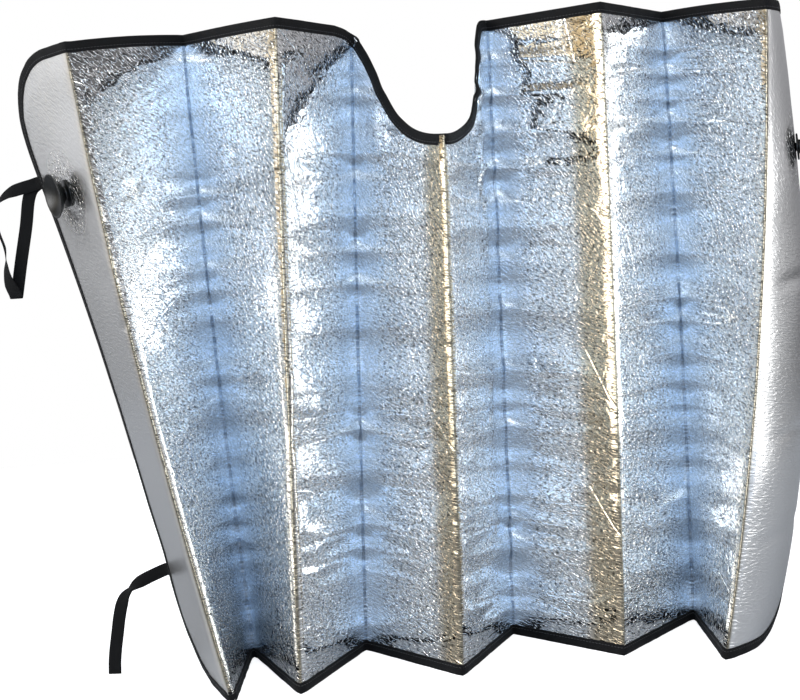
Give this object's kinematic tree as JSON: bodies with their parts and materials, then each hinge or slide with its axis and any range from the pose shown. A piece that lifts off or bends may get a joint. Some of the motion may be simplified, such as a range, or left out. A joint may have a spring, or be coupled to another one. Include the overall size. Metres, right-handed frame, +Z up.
{
  "type": "windscreen sunshade",
  "caption": "Folding windscreen sunshade: creased foil-faced foam sheet with a mirror cut-out, a bound edge, suction cups and elastic loops, standing open.",
  "frame": {"origin": "under the middle crease, on the surface that the lower edge stands on", "axes": "+X along the open shade from the end with the elastic loops to the other, +Y away from the foil side that faces the viewer, +Z up"},
  "size_m": [0.7798, 0.1702, 0.6023],
  "materials": {
    "foil": "metallised film bonded to foam, finely crinkled",
    "binding_tape": "woven black tape, folded over the edge and sewn",
    "cup_rubber": "soft moulded black vinyl, slightly glossy",
    "elastic": "woven black elastic"
  },
  "bodies": {
    "shade": {"shade_sheet": "foil", "edge_binding": "binding_tape", "elastic_loop_upper": "elastic", "elastic_loop_lower": "elastic"},
    "left_cup": {"suction_cup_left": "cup_rubber"},
    "right_cup": {"suction_cup_right": "cup_rubber"}
  },
  "joints": [
    {"name": "left_cup_turn", "type": "hinge", "parent": "shade", "child": "left_cup", "pos_m": [-0.32561, 0.07569, 0.46057], "axis": [-0.8842, -0.4404, -0.1558], "continuous": true},
    {"name": "right_cup_turn", "type": "hinge", "parent": "shade", "child": "right_cup", "pos_m": [0.35231, 0.06047, 0.46044], "axis": [0.9267, -0.3712, 0.059], "continuous": true}
  ]
}
